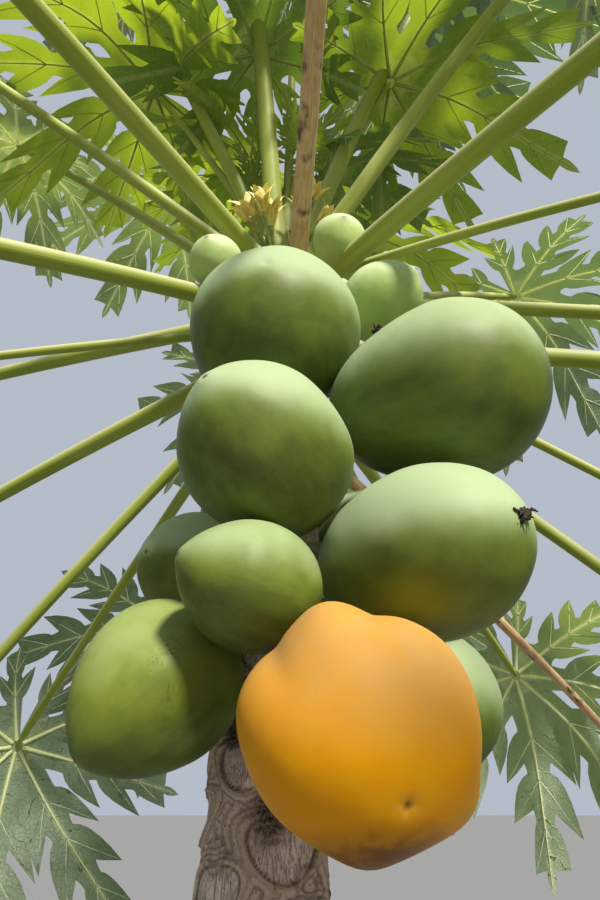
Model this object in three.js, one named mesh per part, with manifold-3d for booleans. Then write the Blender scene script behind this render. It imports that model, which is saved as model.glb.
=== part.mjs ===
// Papaya tree: one leaning trunk, a crowded column of fruit and a crown of long-stalked palmate leaves.
// Millimetres, +Z up, origin in the middle of the flat cut at the ground. The trunk leans towards +Y.
// Turns are in degrees round the trunk, from the side that faces -Y and positive towards +X.
// Heights in the crown are measured along the trunk from the top of its bend.
import * as THREE from 'three';
import { mergeVertices } from 'three/addons/utils/BufferGeometryUtils.js';
import Module from 'manifold-3d';

const wasm = await Module();
wasm.setup();

// Trunk
const BEND_HEIGHT = 1350;
const LEAN = 8;
const TRUNK_SIDES = 14;
const ROOT_FLARE = 28;
const FLARE_HEIGHT = 110;
const FLARE_LOBES = 5;
const FLARE_UNEVEN = 0.35;
const FLARE_TURN = 0.6;
// Height above the ground and radius of the trunk without its flare
const TAPER = [
  [0, 84], [60, 82], [140, 79], [260, 75], [420, 70], [620, 64], [840, 59], [1060, 53], [1250, 49],
  [1350, 46], [1450, 42], [1640, 40], [1845, 38], [1965, 32], [2063, 24], [2130, 19], [2172, 13],
];

// Fruit
const STEM_RADIUS = 8;
const STEM_SIDES = 6;
const STEM_RISE = 14;
const STEM_SINK = 12;
const FRUIT_SIDES = 10;
const FRUIT_RINGS = 5;
// How full a fruit's outline is towards its stem and towards its tip
const STEM_FULLNESS = 2.2;
const TIP_FULLNESS = 1.75;

// Leaves
const STALK_SIDES = 5;
const STALK_STEPS = 3;
// How far a stalk's line starts inside the trunk's skin
const STALK_SINK = 6;
const STALK_TAPER = 0.62;
const STALK_FOOT = 1.2;
const STALK_SAG = 60;
const BLADE_THICKNESS = 3;
const BLADE_BEND = 42;
const STEEPEST_BLADE = -80;
const BLADE_DROOP = 0.3;
const HUB_RADIUS = 0.1;
const LOBE_SPACING = 45;
const LOBE_LENGTHS = [0.6, 0.8, 0.95, 1, 0.95, 0.8, 0.6];
const LOBE_SHOULDER = 0.7;
const LOBE_HALF_WIDTH = 12;
const SINUS = 0.38;
const BACK_NOTCH = 0.14;

// Gap between a piece and the trunk that it grows from
const GAP = 0.35;

const COLOURS = {
  bark: 0x8b7d72, green: 0x6f8f57, pale: 0x8fa866, ripe: 0xe09a3c,
  leaf: 0x4f7a2e, young: 0x86a64a, dry: 0x8a5a34,
};

// Each fruit: where its middle is, which way its tip points, its length and width
const FRUITS = [
  { name: 'fruit_top', up: 434, turn: 0, out: 123, face: -3, tilt: 7, long: 158, wide: 157 },
  { name: 'fruit_middle', up: 279, turn: -2, out: 145, face: -38, tilt: 12, long: 149, wide: 122 },
  { name: 'fruit_lower_left', up: 171, turn: -4, out: 142, face: -59, tilt: 12, long: 99, wide: 83 },
  { name: 'fruit_upper_right', up: 349, turn: 47, out: 184, face: 56, tilt: -4, long: 186, wide: 148 },
  { name: 'fruit_lower_right', up: 204, turn: 43, out: 159, face: 35, tilt: -1, long: 176, wide: 121 },
  { name: 'fruit_bottom_left', up: 124, turn: -45, out: 107, face: -57, tilt: -44, long: 128, wide: 107 },
  { name: 'fruit_side_left', up: 284, turn: -126, out: 103, face: -40, tilt: 0, long: 124, wide: 113 },
  { name: 'fruit_ripe', up: 82, turn: 21, out: 160, face: 17, tilt: -36, long: 128, wide: 132, ripe: true },
  { name: 'fruit_side_right', up: 145, turn: 99, out: 144, face: 92, tilt: -70, long: 110, wide: 95 },
  { name: 'fruit_young', up: 519, turn: 50, out: 145, face: 41, tilt: 11, long: 95, wide: 82, pale: true },
  { name: 'fruit_back_1', up: 305, turn: 120, out: 120, face: 116, tilt: -20, long: 140, wide: 112 },
  { name: 'fruit_back_2', up: 385, turn: -160, out: 114, face: -155, tilt: -18, long: 138, wide: 108 },
  { name: 'fruit_back_3', up: 185, turn: 155, out: 116, face: 152, tilt: -42, long: 146, wide: 114 },
  { name: 'fruit_back_4', up: 180, turn: -145, out: 108, face: -150, tilt: -46, long: 122, wide: 96 },
];

// Each leaf: height and turn of its foot, turn and rise of its stalk, stalk girth and length, blade radius
const LEAVES = [
  { name: 'leaf_left_1', up: 664, foot: -32, turn: -32, rise: 2, girth: 25, long: 850, blade: 345 },
  { name: 'leaf_left_2', up: 738, foot: -70, turn: -59, rise: 63, girth: 21, long: 660, blade: 195 },
  { name: 'leaf_left_3', up: 681, foot: -74, turn: -74, rise: 35, girth: 19, long: 860, blade: 320 },
  { name: 'leaf_left_4', up: 652, foot: -106, turn: -99, rise: 47, girth: 18, long: 690, blade: 260 },
  { name: 'leaf_left_5', up: 597, foot: -49, turn: -49, rise: -19, girth: 22, long: 840, blade: 345 },
  { name: 'leaf_left_6', up: 574, foot: -83, turn: -83, rise: -11, girth: 12, long: 760, blade: 275 },
  { name: 'leaf_left_7', up: 613, foot: -107, turn: -107, rise: 2, girth: 23, long: 900, blade: 345 },
  { name: 'leaf_left_8', up: 541, foot: -114, turn: -114, rise: -13, girth: 24, long: 820, blade: 345 },
  { name: 'leaf_left_9', up: 500, foot: -116, turn: -112, rise: -42, girth: 16, long: 760, blade: 305 },
  { name: 'leaf_right_1', up: 705, foot: 70, turn: 62, rise: 67, girth: 26, long: 640, blade: 300 },
  { name: 'leaf_right_2', up: 672, foot: 60, turn: 60, rise: 49, girth: 24, long: 820, blade: 335 },
  { name: 'leaf_right_3', up: 600, foot: 37, turn: 37, rise: -3, girth: 25, long: 860, blade: 355 },
  { name: 'leaf_right_4', up: 650, foot: 57, turn: 57, rise: -9, girth: 13, long: 610, blade: 210 },
  { name: 'leaf_right_5', up: 620, foot: 68, turn: 68, rise: -20, girth: 17, long: 780, blade: 320 },
  { name: 'leaf_right_6', up: 549, foot: 90, turn: 90, rise: -2, girth: 26, long: 880, blade: 355 },
  { name: 'leaf_right_7', up: 587, foot: 99, turn: 99, rise: -24, girth: 14, long: 800, blade: 295 },
  { name: 'leaf_right_8', up: 515, foot: 92, turn: 92, rise: -38, girth: 16, long: 760, blade: 305 },
  { name: 'leaf_heart_1', up: 697, foot: -20, turn: -14, rise: 73, girth: 28, long: 620, blade: 210 },
  { name: 'leaf_heart_2', up: 772, foot: 20, turn: 6, rise: 80, girth: 15, long: 580, blade: 165 },
  { name: 'leaf_back_1', up: 640, foot: 130, turn: 130, rise: 37, girth: 22, long: 820, blade: 355 },
  { name: 'leaf_back_2', up: 690, foot: -141, turn: -141, rise: 58, girth: 22, long: 800, blade: 345 },
  { name: 'leaf_back_3', up: 560, foot: 165, turn: 165, rise: 10, girth: 23, long: 840, blade: 355 },
  { name: 'leaf_back_4', up: 590, foot: -160, turn: -160, rise: -8, girth: 23, long: 820, blade: 345 },
  { name: 'leaf_back_5', up: 762, foot: 145, turn: 106, rise: 74, girth: 22, long: 700, blade: 350 },
  { name: 'leaf_back_6', up: 655, foot: -172, turn: -172, rise: 32, girth: 22, long: 820, blade: 345 },
  { name: 'leaf_back_7', up: 530, foot: 146, turn: 146, rise: -14, girth: 20, long: 780, blade: 320 },
  { name: 'leaf_back_8', up: 545, foot: -155, turn: -140, rise: -26, girth: 18, long: 760, blade: 305 },
];

// Each dead leaf: a dry stalk with its shrivelled blade hanging from the end
const DEAD_LEAVES = [
  { name: 'dead_leaf_front', up: 549, foot: 30, turn: 3, rise: 17, girth: 22, long: 850 },
  { name: 'dead_leaf_right', up: 426, foot: 129, turn: 129, rise: -24, girth: 16, long: 820 },
];
const DEAD_BLADE = { drop: 230, lap: 6, width: 60, depth: 34, neck: 0.18, narrowing: 0.2, sides: 8, steps: 4 };

const lean = THREE.MathUtils.degToRad(LEAN);
const outward = new THREE.Vector3(0, Math.cos(lean), -Math.sin(lean));
const across = new THREE.Vector3(1, 0, 0);

// A point on the middle line of the trunk, a parabola up to BEND_HEIGHT and straight above it
function trunkMiddle(height) {
  const slope = Math.tan(lean);
  const y = height < BEND_HEIGHT
    ? slope * height * height / (2 * BEND_HEIGHT)
    : slope * (height - BEND_HEIGHT / 2);
  return new THREE.Vector3(0, y, height);
}

function trunkSlope(height) {
  return Math.tan(lean) * Math.min(height / BEND_HEIGHT, 1);
}

function groundHeight(up) {
  return BEND_HEIGHT + up * Math.cos(lean);
}

function trunkRadius(height) {
  for (let i = 1; i < TAPER.length; i++) {
    const [low, lowRadius] = TAPER[i - 1];
    const [high, highRadius] = TAPER[i];
    if (height <= high) {
      return THREE.MathUtils.mapLinear(height, low, high, lowRadius, highRadius);
    }
  }
  return TAPER[TAPER.length - 1][1];
}

// Direction from a turn round the trunk and a rise above the horizon
function heading(turn, rise) {
  const a = THREE.MathUtils.degToRad(turn);
  const e = THREE.MathUtils.degToRad(rise);
  return new THREE.Vector3(Math.sin(a) * Math.cos(e), -Math.cos(a) * Math.cos(e), Math.sin(e));
}

// A point beside the trunk in the crown, measured square to the leaning middle line
function besideTrunk(up, turn, out) {
  const a = THREE.MathUtils.degToRad(turn);
  return trunkMiddle(groundHeight(up))
    .addScaledVector(across, Math.sin(a) * out)
    .addScaledVector(outward, -Math.cos(a) * out);
}

// A closed body from rings of points, each ring with the same count, its two ends closed by a fan
function loft(rings) {
  const count = rings[0].length;
  const points = rings.flat();
  const faces = [];
  for (let r = 0; r + 1 < rings.length; r++) {
    for (let i = 0; i < count; i++) {
      const j = (i + 1) % count;
      const a = r * count + i;
      const b = r * count + j;
      faces.push(a, b, b + count, a, b + count, a + count);
    }
  }
  const closeEnd = (ring, first, flip) => {
    const middle = ring.reduce((sum, p) => sum.add(p), new THREE.Vector3()).divideScalar(count);
    points.push(middle);
    const tip = points.length - 1;
    for (let i = 0; i < count; i++) {
      const j = (i + 1) % count;
      faces.push(...(flip ? [tip, first + j, first + i] : [tip, first + i, first + j]));
    }
  };
  closeEnd(rings[0], 0, true);
  closeEnd(rings[rings.length - 1], (rings.length - 1) * count, false);
  return closedBody(points, faces);
}

// An indexed geometry with its faces turned outwards
function closedBody(points, faces) {
  let volume = 0;
  for (let i = 0; i < faces.length; i += 3) {
    const [a, b, c] = [points[faces[i]], points[faces[i + 1]], points[faces[i + 2]]];
    volume += a.dot(new THREE.Vector3().crossVectors(b, c));
  }
  const index = [...faces];
  if (volume < 0) {
    index.reverse();
  }
  const geometry = new THREE.BufferGeometry();
  geometry.setAttribute('position', new THREE.Float32BufferAttribute(points.flatMap((p) => p.toArray()), 3));
  geometry.setIndex(index);
  return geometry;
}

// A ring of points round a middle, in the plane of two directions
function ring(middle, first, second, firstRadius, secondRadius, sides) {
  return Array.from({ length: sides }, (_, i) => {
    const a = 2 * Math.PI * i / sides;
    return middle.clone()
      .addScaledVector(first, Math.cos(a) * firstRadius)
      .addScaledVector(second, Math.sin(a) * secondRadius);
  });
}

// A tapering round limb through a list of points, with a radius for each
function limb(path, radii, sides) {
  const side = new THREE.Vector3().subVectors(path[path.length - 1], path[0]);
  side.cross(Math.abs(side.z) > 0.95 * side.length() ? across : new THREE.Vector3(0, 0, 1)).normalize();
  const rings = path.map((point, i) => {
    const before = path[Math.max(i - 1, 0)];
    const after = path[Math.min(i + 1, path.length - 1)];
    const forward = new THREE.Vector3().subVectors(after, before).normalize();
    const first = side.clone().addScaledVector(forward, -side.dot(forward)).normalize();
    const second = new THREE.Vector3().crossVectors(forward, first);
    return ring(point, first, second, radii[i], radii[i], sides);
  });
  return loft(rings);
}

function toSolid(geometry) {
  const plain = geometry.clone();
  plain.deleteAttribute('normal');
  plain.deleteAttribute('uv');
  const merged = mergeVertices(plain, 0.001);
  return new wasm.Manifold(new wasm.Mesh({
    numProp: 3,
    vertProperties: new Float32Array(merged.attributes.position.array),
    triVerts: new Uint32Array(merged.index.array),
  }));
}

function toGeometry(solid) {
  const mesh = solid.getMesh();
  const geometry = new THREE.BufferGeometry();
  geometry.setAttribute('position', new THREE.Float32BufferAttribute(mesh.vertProperties, 3));
  geometry.setIndex(Array.from(mesh.triVerts));
  return geometry;
}

// The trunk: level at its foot, then square to its middle line, with the root flare in low lobes
function trunkGeometry(extra) {
  const rings = TAPER.map(([height, radius]) => {
    const middle = trunkMiddle(height);
    const slope = trunkSlope(height);
    const back = new THREE.Vector3(0, 1, height > 0 ? -slope : 0).normalize();
    const flare = ROOT_FLARE * Math.exp(-height / FLARE_HEIGHT);
    return ring(middle, across, back, 1, 1, TRUNK_SIDES).map((point, i) => {
      const a = 2 * Math.PI * i / TRUNK_SIDES;
      const size = radius + extra + flare * (1 + FLARE_UNEVEN * Math.cos(FLARE_LOBES * a + FLARE_TURN));
      return point.sub(middle).multiplyScalar(size).add(middle);
    });
  });
  return loft(rings);
}

const grownTrunk = toSolid(trunkGeometry(GAP));

// Half width of a fruit at a place along it, from 0 at the stem to 1 at the tip
function fruitShape(t) {
  const t0 = Math.abs(1 - 2 * t);
  return t < 0.5 ? Math.sqrt(1 - t0 ** STEM_FULLNESS) : (1 - t0 ** 2) ** (1 / TIP_FULLNESS);
}

// A fruit as a turned egg with its stem, cut where it meets the trunk
function fruitGeometry({ up, turn, out, face, tilt, long, wide }) {
  const profile = Array.from({ length: FRUIT_RINGS + 2 }, (_, i) => {
    const t = (1 - Math.cos(Math.PI * i / (FRUIT_RINGS + 1))) / 2;
    const end = i === 0 || i === FRUIT_RINGS + 1;
    return new THREE.Vector2(end ? 0 : fruitShape(t) * wide / 2, (t - 0.5) * long);
  });
  const middle = besideTrunk(up, turn, out);
  const axis = heading(face, tilt);
  const body = new THREE.LatheGeometry(profile, FRUIT_SIDES);
  body.applyQuaternion(new THREE.Quaternion().setFromUnitVectors(new THREE.Vector3(0, 1, 0), axis));
  body.translate(middle.x, middle.y, middle.z);
  const stemEnd = middle.clone().addScaledVector(axis, -long / 2);
  const inside = stemEnd.clone().addScaledVector(axis, STEM_SINK);
  const root = trunkMiddle(stemEnd.z + STEM_RISE);
  const stem = limb([root, inside], [STEM_RADIUS, STEM_RADIUS], STEM_SIDES);
  return toGeometry(toSolid(body).add(toSolid(stem)).subtract(grownTrunk));
}

// The line of a leaf stalk, straight but for its sag, from inside the trunk to the blade
function stalkPath({ up, foot, turn, rise, long }) {
  const start = besideTrunk(up, foot, trunkRadius(groundHeight(up)) - STALK_SINK);
  const direction = heading(turn, rise);
  return Array.from({ length: STALK_STEPS + 1 }, (_, i) => {
    const t = i / STALK_STEPS;
    return start.clone()
      .addScaledVector(direction, long * t)
      .add(new THREE.Vector3(0, 0, -STALK_SAG * t * t));
  });
}

function stalkRadii(girth) {
  return Array.from({ length: STALK_STEPS + 1 }, (_, i) => {
    const t = i / STALK_STEPS;
    return girth / 2 * (i === 0 ? STALK_FOOT : 1 - (1 - STALK_TAPER) * t);
  });
}

// The outline of a palmate blade as turn and distance from its hub, from one back lobe to the other
function bladeOutline() {
  const points = [];
  const middleLobe = (LOBE_LENGTHS.length - 1) / 2;
  LOBE_LENGTHS.forEach((length, i) => {
    const turn = (i - middleLobe) * LOBE_SPACING;
    const before = i === 0 ? [-180, BACK_NOTCH] : [turn - LOBE_SPACING / 2, SINUS];
    points.push(before);
    points.push([turn - LOBE_HALF_WIDTH, LOBE_SHOULDER * length]);
    points.push([turn, length]);
    points.push([turn + LOBE_HALF_WIDTH, LOBE_SHOULDER * length]);
  });
  return points;
}

// A thin closed blade: a flat hub inside the drooping outline, with an upper and an under side
function bladeGeometry(hub, turn, rise, radius) {
  const forward = heading(turn, rise);
  const side = heading(turn + 90, 0);
  const normal = new THREE.Vector3().crossVectors(side, forward);
  if (normal.z < 0) {
    normal.negate();
  }
  const at = (degrees, distance, sink) => {
    const a = THREE.MathUtils.degToRad(degrees);
    return hub.clone()
      .addScaledVector(forward, Math.cos(a) * distance * radius)
      .addScaledVector(side, Math.sin(a) * distance * radius)
      .addScaledVector(normal, -BLADE_DROOP * radius * distance * distance - sink);
  };
  const outline = bladeOutline();
  const lobes = LOBE_LENGTHS.length;
  const count = outline.length;
  const perLobe = count / lobes;
  const tip = 2;
  const points = [];
  for (const sink of [0, BLADE_THICKNESS]) {
    points.push(at(0, 0, sink));
    for (let lobe = 0; lobe < lobes; lobe++) {
      points.push(at(outline[lobe * perLobe + tip][0], HUB_RADIUS, sink));
    }
    outline.forEach(([degrees, distance]) => points.push(at(degrees, distance, sink)));
  }
  const faces = [];
  const under = points.length / 2;
  const bothSides = (a, b, c) => faces.push(a, b, c, under + a, under + c, under + b);
  for (let lobe = 0; lobe < lobes; lobe++) {
    const here = 1 + lobe;
    const next = 1 + (lobe + 1) % lobes;
    bothSides(0, here, next);
    for (let i = 0; i < perLobe; i++) {
      const a = 1 + lobes + lobe * perLobe + i;
      const b = 1 + lobes + (lobe * perLobe + i + 1) % count;
      bothSides(here, a, b);
      faces.push(a, under + a, under + b, a, under + b, b);
    }
    bothSides(here, 1 + lobes + (lobe + 1) * perLobe % count, next);
  }
  return closedBody(points, faces);
}

function leafGeometry(leaf) {
  const path = stalkPath(leaf);
  const stalk = toSolid(limb(path, stalkRadii(leaf.girth), STALK_SIDES)).subtract(grownTrunk);
  const end = path[STALK_STEPS];
  const last = new THREE.Vector3().subVectors(end, path[STALK_STEPS - 1]).normalize();
  const endRise = THREE.MathUtils.radToDeg(Math.asin(last.z));
  const hub = end.clone().add(new THREE.Vector3(0, 0, BLADE_THICKNESS / 2));
  const blade = bladeGeometry(hub, leaf.turn, Math.max(endRise - BLADE_BEND, STEEPEST_BLADE), leaf.blade);
  return toGeometry(stalk.add(toSolid(blade)));
}

// A dead leaf: the stalk, then a crumpled blade that hangs straight down from its end
function deadLeafGeometry(leaf) {
  const path = stalkPath(leaf);
  const stalk = toSolid(limb(path, stalkRadii(leaf.girth), STALK_SIDES)).subtract(grownTrunk);
  const { drop, lap, width, depth, neck, narrowing, sides, steps } = DEAD_BLADE;
  const first = heading(leaf.turn + 90, 0);
  const second = heading(leaf.turn, 0);
  const rings = Array.from({ length: steps + 1 }, (_, i) => {
    const t = i / steps;
    const middle = path[STALK_STEPS].clone().add(new THREE.Vector3(0, 0, lap - drop * t));
    const swell = neck + Math.sin(Math.PI * t) ** 0.8 * (1 - narrowing * t);
    return ring(middle, first, second, width * swell, depth * swell, sides);
  });
  return toGeometry(stalk.add(toSolid(loft(rings))));
}

const tree = new THREE.Group();

function addPiece(name, geometry, color, roughness) {
  const material = new THREE.MeshStandardMaterial({ color, roughness, metalness: 0 });
  const mesh = new THREE.Mesh(geometry, material);
  mesh.name = name;
  tree.add(mesh);
}

addPiece('trunk', trunkGeometry(0), COLOURS.bark, 0.9);
for (const fruit of FRUITS) {
  const colour = fruit.ripe ? COLOURS.ripe : fruit.pale ? COLOURS.pale : COLOURS.green;
  addPiece(fruit.name, fruitGeometry(fruit), colour, 0.4);
}
for (const leaf of LEAVES) {
  addPiece(leaf.name, leafGeometry(leaf), leaf.name.includes('heart') ? COLOURS.young : COLOURS.leaf, 0.6);
}
for (const leaf of DEAD_LEAVES) {
  addPiece(leaf.name, deadLeafGeometry(leaf), COLOURS.dry, 0.8);
}

export default tree;
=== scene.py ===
"""A fruiting papaya tree: a leaning trunk with large leaf scars, a crowded column of green and ripening
fruit, and a crown of long-stalked palmate leaves. Metres, +Z up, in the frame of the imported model.

Turns are in degrees round the trunk, from the side that faces -Y and positive towards +X. Heights in the
crown ("up") are measured along the leaning trunk from the top of its bend."""
import math

import bmesh
import bpy
import numpy as np
from mathutils import Matrix, Vector, noise
from mathutils.geometry import delaunay_2d_cdt


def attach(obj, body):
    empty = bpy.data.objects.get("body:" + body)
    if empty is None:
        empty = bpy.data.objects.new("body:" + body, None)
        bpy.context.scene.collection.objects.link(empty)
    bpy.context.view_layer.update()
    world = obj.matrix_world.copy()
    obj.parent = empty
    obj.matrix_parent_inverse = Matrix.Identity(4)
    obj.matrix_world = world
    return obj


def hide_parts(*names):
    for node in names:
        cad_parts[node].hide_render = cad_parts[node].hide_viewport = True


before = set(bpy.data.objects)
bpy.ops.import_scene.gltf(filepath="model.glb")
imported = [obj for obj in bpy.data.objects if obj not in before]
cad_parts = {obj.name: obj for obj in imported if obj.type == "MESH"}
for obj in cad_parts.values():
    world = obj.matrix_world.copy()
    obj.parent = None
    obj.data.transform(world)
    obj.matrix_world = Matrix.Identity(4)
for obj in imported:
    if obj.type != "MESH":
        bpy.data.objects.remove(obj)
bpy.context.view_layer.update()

SEED = 41

# Trunk
BEND_HEIGHT = 1.350
LEAN = math.radians(8)
ACROSS = Vector((0, math.cos(LEAN), -math.sin(LEAN)))
TAPER = [
    (0, .084), (.060, .082), (.140, .079), (.260, .075), (.420, .070), (.620, .064), (.840, .059),
    (1.060, .053), (1.250, .049), (1.350, .046), (1.450, .042), (1.640, .040), (1.845, .038),
    (1.965, .032), (2.063, .024), (2.130, .019), (2.172, .013),
]
ROOT_FLARE = .028
FLARE_HEIGHT = .110
FLARE_LOBES = 5
FLARE_DEPTH = .35
TRUNK_COLUMNS = 240
COARSE_ROW = .0078
FINE_ROW = .0017
FINE_FROM = 1.30
FINE_TO = 1.56

# Leaf scars on the bark: their spiral, their outline, and how far each part sinks or stands out
SCAR_TURN = 137.5
SCAR_STEP_LOW = .0165
SCAR_STEP_HIGH = .0078
SCAR_WIDTH = .0215
SCAR_HEIGHT = .0165
SCAR_TAPER = .36
SCAR_ROUNDNESS = 2.3
SCAR_SINK = .0012
PLATE_EDGE = .90
GROOVE_AT = .93
GROOVE_SPREAD = .032
GROOVE_SINK = .0012
CREST_AT = 1.07
RIM_RISE = .0022
RIM_SPREAD = .10
DOT_SINK = .0006
RIDGE_RISE = .0008
ROUGH_RISE = .0015
BUD_RISE = .0009
PIT_SINK = .0015
CRUMBLE_RISE = .0035
SOFT_EDGE = 11
SCAR_DOTS = ((-.45, .2), (-.22, -.1), (0, -.3), (.22, -.1), (.45, .2))
BUD_SIZE = .0065
FAR_AWAY = 9
# Scars that fallen fruit left: height, turn and radius
FRUIT_SCARS = (
    (1.404, 6, .0150), (1.455, -35, .010), (1.36, 80, .011), (1.50, 150, .012), (1.33, -120, .010),
)

# Fruit
FRUIT_GRID = (72, 96)
SMALL_FRUIT_GRID = (36, 48)
SHOULDER = .4
OVAL = .010
LUMPS = .013
NUB_DIMPLE = .0016
STEM_SINK = .0035
# How far the blossom scar reaches from the tip of a fruit
SCAR_SIZE = {"fruit_green": .0022, "fruit_young": .0024, "fruit_ripe": .0014}
CAUGHT_FLOWER = (.088, -.017, 1.757)

# Leaves. Their lobes go round the blade from one side of the back notch to the other
STALK_STEPS = 30
STALK_SAG = .060
STALK_TAPER = .62
BLADE_BEND = 42
BLADE_GRID = .055
LOBES = 9
LOBE_SPACING = 40
LOBE_LENGTHS = (.56, .80, .93, 1.0, 1.0, 1.0, .93, .80, .56)
LOBE_FREE = .26
SINUS = .23
BACK_NOTCH = .06
RIB_POINTS = 14
RIB_WIDTH = (.0018, .0090)
VEIN_POINTS = 5
VEIN_WIDTH = (.0032, .0010)
VEIN_DEPTH = .20
# Side lobes of a long lobe and of a short one: where each starts and ends along the lobe, and its reach
SIDE_LOBES = ((.33, .60, .195), (.53, .80, .185), (.74, .93, .105))
FEW_SIDE_LOBES = ((.44, .74, .17), (.68, .91, .11))

# The photographed view, half a metre in front of the fruit and looking up, and its light
CAMERA_DISTANCE = .500
CAMERA_ASIDE = .024
CAMERA_PITCH = 30
CAMERA_LENS = 24
FILM = 36
SUN_TOWARDS = (.30, -.70, .70)
SUN_STRENGTH = 5.8
SUN_WIDTH = 7
SKY_COLOUR = (.72, .79, .90, 1)
SKY_STRENGTH = .64
FLOOR_GREY = .205
FLOOR_REACH = 60


class Fruit:
    """Where a fruit hangs, which way its tip points, its size, and how it looks.

    Widest is the share of its length where it is widest, phase the turn of its ribs in radians, the ripening
    share how ripe its skin is, whose yellow fades on the underside as painted shade, the pale-top share how
    pale its top is, a wax coat with painted top light over it, stain a place. A lobe is its turn, rise and
    width, and how much more it stands out towards the stem."""

    kind, widest, blunt, neck, nipple = "fruit_green", .5, 1.75, 0, .002
    ripening_and_shade, yellow_below, scar, bloom_and_top_light, ribs = 0, 0, 1, 1, .010
    phase, stain, lobes = None, None, ()

    def __init__(self, up, turn, out, face, tilt, long, wide, **looks):
        self.up, self.turn, self.out = up, turn, out
        self.face, self.tilt, self.long, self.wide = face, tilt, long, wide
        vars(self).update(looks)


class Leaf:
    """Where a leaf grows, its stalk's turn, rise, girth and length, and its blade's radius and droop."""

    def __init__(self, up, foot, turn, rise, girth, long, blade, droop=.36):
        self.up, self.foot, self.turn, self.rise = up, foot, turn, rise
        self.girth, self.long, self.blade, self.droop = girth, long, blade, droop


FRUITS = {
    "fruit_top": Fruit(.434, 0, .123, -3, 7, .158, .157, widest=.52, blunt=1.95, nipple=0, scar=.15,
                       bloom_and_top_light=1.1),
    "fruit_middle": Fruit(.278, -1, .145, -33, 18, .147, .127, blunt=1.6, nipple=.0025, phase=2.4, ripening_and_shade=.10,
                          ribs=.016),
    "fruit_lower_left": Fruit(.171, -4, .142, -59, 12, .099, .083, widest=.46, blunt=1.5, ripening_and_shade=.22, bloom_and_top_light=.6,
                              ribs=.014),
    "fruit_upper_right": Fruit(.349, 47, .187, 56, -4, .190, .151, widest=.60, blunt=2.0, neck=.20, nipple=0,
                               scar=0, bloom_and_top_light=.85),
    "fruit_lower_right": Fruit(.204, 43, .159, 35, -1, .176, .121, widest=.54, blunt=1.9, nipple=.001,
                               yellow_below=.35, bloom_and_top_light=1.15, ribs=.014),
    "fruit_bottom_left": Fruit(.124, -45, .107, -57, -44, .128, .107, widest=.46, blunt=1.5, ripening_and_shade=.5,
                               nipple=.001, bloom_and_top_light=.35, phase=3.84, ribs=.045, stain=(-.056, -.028, 1.502)),
    "fruit_side_left": Fruit(.284, -126, .103, -40, 0, .124, .113),
    "fruit_ripe": Fruit(.083, 21, .16, 17, -36, .128, .124, blunt=2.1, kind="fruit_ripe", ribs=0, nipple=0,
                        phase=1.2, lobes=((142, .045, 32, 1), (63, .100, 17, 1), (0, .085, 22, 1),
                                          (29, -.030, 8, 2), (95, -.060, 14, 1), (268, .065, 14, -.6),
                                          (204, .160, 18, -.6), (302, -.035, 18, 0))),
    "fruit_side_right": Fruit(.145, 99, .144, 92, -70, .11, .095),
    "fruit_young": Fruit(.519, 50, .145, 41, 11, .095, .082, kind="fruit_young", nipple=.0035),
    "fruit_back_1": Fruit(.305, 120, .12, 116, -20, .14, .112),
    "fruit_back_2": Fruit(.385, -160, .114, -155, -18, .138, .108),
    "fruit_back_3": Fruit(.185, 155, .116, 152, -42, .146, .114, yellow_below=.4),
    "fruit_back_4": Fruit(.18, -145, .108, -150, -46, .122, .096, ripening_and_shade=.4, yellow_below=.5),
}

# Small young fruit above the grown ones
YOUNG_FRUITS = [
    Fruit(.612, 33, .128, 7, 6, .056, .062, kind="fruit_young", nipple=.003),
    Fruit(.591, -38, .117, -13, 11, .062, .062, kind="fruit_young", nipple=.003),
    Fruit(.560, -170, .095, -165, 20, .062, .052, kind="fruit_young"),
    Fruit(.600, 140, .090, 140, 25, .052, .044, kind="fruit_young"),
    Fruit(.635, -120, .078, -120, 35, .040, .032, kind="fruit_young"),
    Fruit(.655, 85, .075, 85, 35, .034, .028, kind="fruit_young"),
]

# Grown leaves, numbered in each group as their rows follow
LEAF_ROWS = {
    "leaf_left": (
        (.664, -32, -32, 2, .025, .85, .345), (.738, -70, -59, 63, .021, .66, .195),
        (.681, -74, -74, 35, .019, .86, .32), (.652, -106, -99, 47, .018, .69, .26),
        (.597, -49, -49, -19, .022, .84, .345), (.574, -83, -83, -11, .012, .76, .275),
        (.613, -107, -107, 2, .023, .9, .345), (.541, -114, -114, -13, .024, .82, .345),
        (.5, -116, -112, -42, .016, .76, .305),
    ),
    "leaf_right": (
        (.705, 70, 62, 67, .026, .64, .3), (.672, 60, 60, 49, .024, .82, .335),
        (.6, 37, 37, -3, .025, .86, .355), (.65, 57, 57, -9, .013, .61, .21),
        (.62, 68, 68, -20, .017, .78, .32), (.549, 90, 90, -2, .026, .88, .355),
        (.587, 99, 99, -24, .014, .8, .295), (.515, 92, 92, -38, .016, .76, .305),
    ),
    "leaf_heart": (
        (.697, -20, -14, 73, .028, .62, .21), (.772, 20, 6, 80, .015, .58, .165),
    ),
    "leaf_back": (
        (.64, 130, 130, 37, .022, .82, .355), (.69, -141, -141, 58, .022, .8, .345),
        (.56, 165, 165, 10, .023, .84, .355), (.59, -160, -160, -8, .023, .82, .345),
        (.762, 145, 106, 74, .022, .7, .35), (.655, -172, -172, 32, .022, .82, .345),
        (.53, 146, 146, -14, .02, .78, .32), (.545, -155, -140, -26, .018, .76, .305),
    ),
}
LEAVES = {f"{group}_{number}": Leaf(*row) for group, rows in LEAF_ROWS.items()
          for number, row in enumerate(rows, 1)}

DEAD_LEAVES = {
    "dead_leaf_front": Leaf(.549, 30, 3, 17, .022, .85, .207, .1),
    "dead_leaf_right": Leaf(.426, 129, 129, -24, .016, .82, .207, .1),
}


# Places on and beside the trunk

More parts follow.
